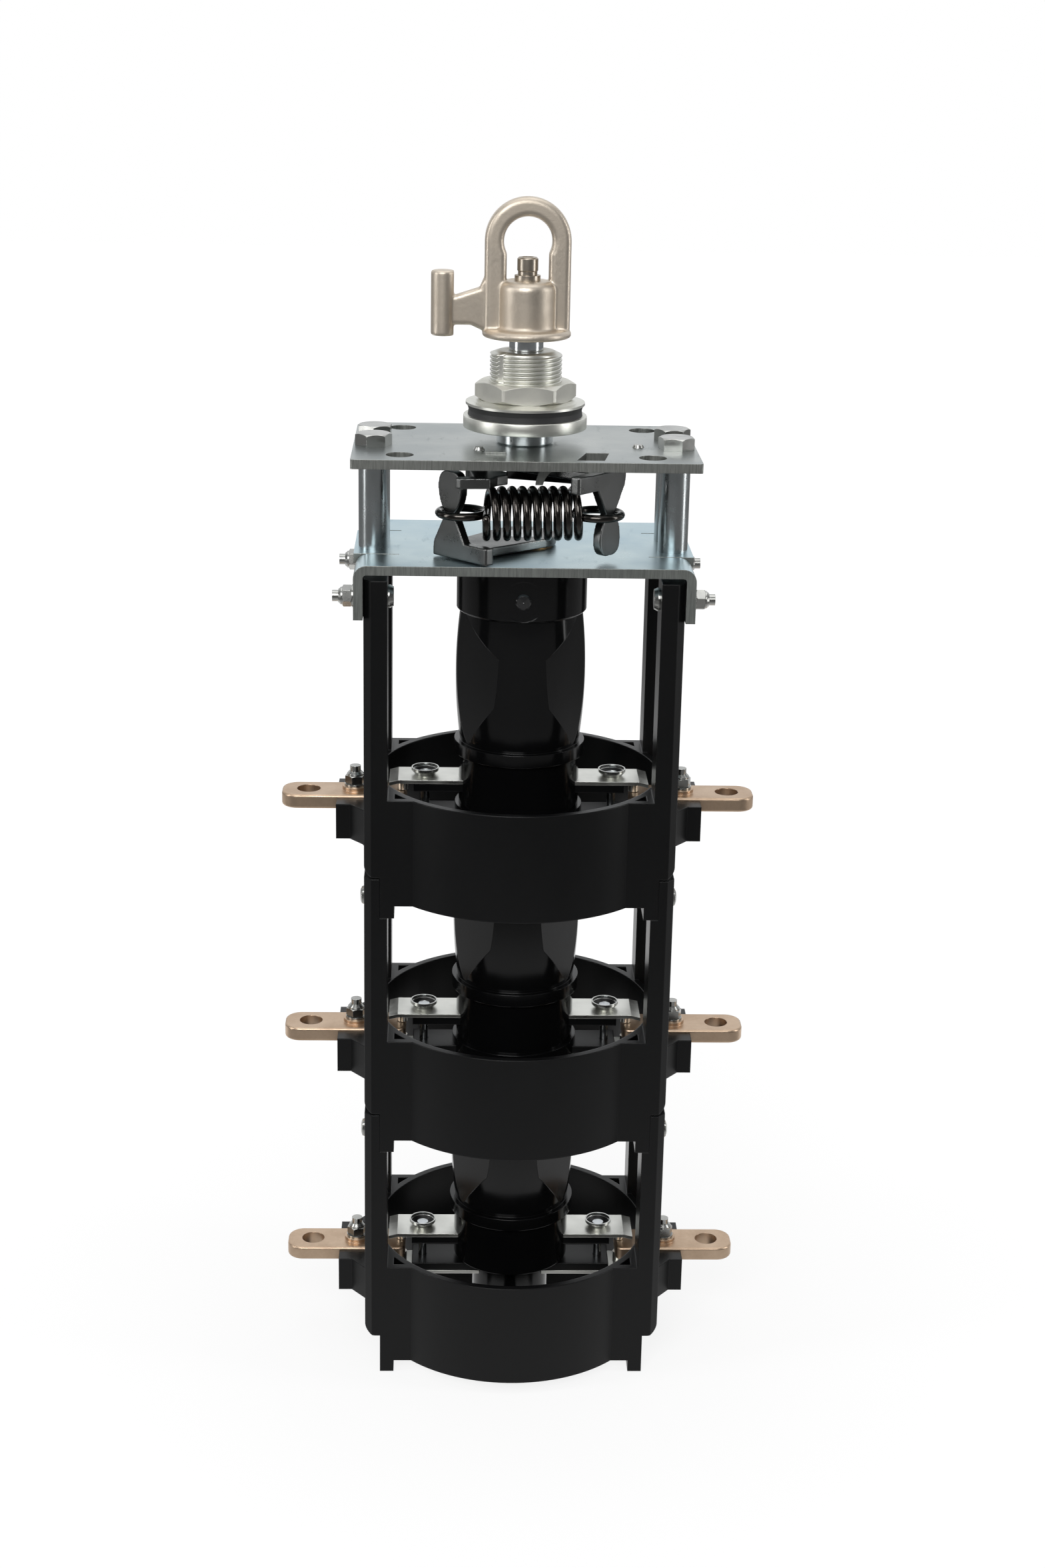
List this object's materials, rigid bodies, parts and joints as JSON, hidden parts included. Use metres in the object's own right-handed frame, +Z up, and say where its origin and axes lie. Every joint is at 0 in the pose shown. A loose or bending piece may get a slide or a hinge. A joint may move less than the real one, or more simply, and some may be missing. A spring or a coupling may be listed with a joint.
{
  "type": "switch disconnector",
  "caption": "Three-phase oil-immersed rotary load-break switch: eye handle and spring snap mechanism on top of stacked moulded decks with side terminals, shown closed.",
  "frame": {"origin": "under the operating shaft's axis, on the plane of the lowest deck's four feet, which is the centre of the base of the bounding box", "axes": "+Z up along the operating shaft towards the handle; +X across the terminals, to the right as seen from the front; +Y to the rear"},
  "size_m": [0.262, 0.162, 0.6577],
  "materials": {
    "champagne_cast": "satin champagne-tinted casting with rounded edges",
    "hub_aluminium": "turned aluminium, fine turning marks",
    "bright_steel": "bright zinc plating",
    "zinc_fastener": "zinc-plated fastener",
    "plate_zinc": "zinc-plated steel sheet, slightly bluish",
    "cast_zinc": "plated casting, faintly grained",
    "black_steel": "black oxide with a satin oil sheen",
    "bearing_bronze": "sintered bronze",
    "terminal_bronze": "tinned bronze, satin, pale copper tint",
    "contact_silver": "silver plating, rolled",
    "deck_moulding": "black filled moulding, satin",
    "rotor_moulding": "black moulding, glossy",
    "gasket_rubber": "black oil-proof rubber"
  },
  "bodies": {
    "base": {"mounting_hub": "hub_aluminium", "hub_nut": "hub_aluminium", "cup_washer": "hub_aluminium", "tank_gasket": "gasket_rubber", "hub_spacer": "bright_steel", "hub_snap_ring": "bright_steel", "shaft_seals": "gasket_rubber", "top_plate": "plate_zinc", "lower_bracket": "plate_zinc", "columns": "bright_steel", "column_bolts": "zinc_fastener", "column_nuts": "zinc_fastener", "plate_rivets": "zinc_fastener", "bracket_bush": "bearing_bronze", "floor_bush": "bearing_bronze", "terminal_studs": "zinc_fastener", "lock_nuts": "zinc_fastener", "flat_washers": "zinc_fastener", "deck_screws": "zinc_fastener", "bracket_bolts": "zinc_fastener", "deck_frame_bottom": "deck_moulding", "terminal_bottom_left": "terminal_bronze", "terminal_bottom_right": "terminal_bronze", "deck_frame_middle": "deck_moulding", "terminal_middle_left": "terminal_bronze", "terminal_middle_right": "terminal_bronze", "deck_frame_top": "deck_moulding", "terminal_top_left": "terminal_bronze", "terminal_top_right": "terminal_bronze"},
    "handle": {"handle": "champagne_cast", "handle_screw": "zinc_fastener", "handle_washer": "zinc_fastener", "operating_shaft": "bright_steel", "input_crank": "cast_zinc", "input_crank_pin": "bright_steel", "trip_arm": "black_steel"},
    "rotor": {"output_crank": "cast_zinc", "output_crank_pin": "bright_steel", "rotor_shaft": "bright_steel", "rotor_journal": "bright_steel", "rotor_pins": "black_steel", "contact_pins": "bright_steel", "contact_cups": "bright_steel", "rotor_segment_bottom": "rotor_moulding", "rotor_collar_bottom": "rotor_moulding", "upper_contact_bottom": "contact_silver", "lower_contact_bottom": "contact_silver", "contact_backers_bottom": "deck_moulding", "rotor_segment_middle": "rotor_moulding", "rotor_collar_middle": "rotor_moulding", "upper_contact_middle": "contact_silver", "lower_contact_middle": "contact_silver", "contact_backers_middle": "deck_moulding", "rotor_segment_top": "rotor_moulding", "rotor_collar_top": "rotor_moulding", "upper_contact_top": "contact_silver", "lower_contact_top": "contact_silver", "contact_backers_top": "deck_moulding"},
    "spring": {"drive_spring": "black_steel"},
    "pawl": {"latch_pawl": "cast_zinc"}
  },
  "joints": [
    {"name": "handle_turn", "type": "hinge", "parent": "base", "child": "handle", "pos_m": [0, 0, 0.56], "axis": [0, 0, 1], "range_deg": [0, 90]},
    {"name": "rotor_turn", "type": "hinge", "parent": "base", "child": "rotor", "pos_m": [0, 0, 0.45], "axis": [0, 0, 1], "range_deg": [-90, 0]},
    {"name": "spring_shift", "type": "slide", "parent": "base", "child": "spring", "axis": [0, 1, 0], "range_m": [0, 0.0786], "deforming": ["drive_spring"]},
    {"name": "latch_pivot", "type": "hinge", "parent": "base", "child": "pawl", "pos_m": [-0.0244, -0.0228, 0.518], "axis": [0, 0, 1], "range_deg": [0, 12]}
  ],
  "couplings": [
    {"joint": "rotor_turn", "follows": "handle_turn", "ratio": -1},
    {"joint": "spring_shift", "follows": "handle_turn", "m_per_rad": 0.05}
  ]
}
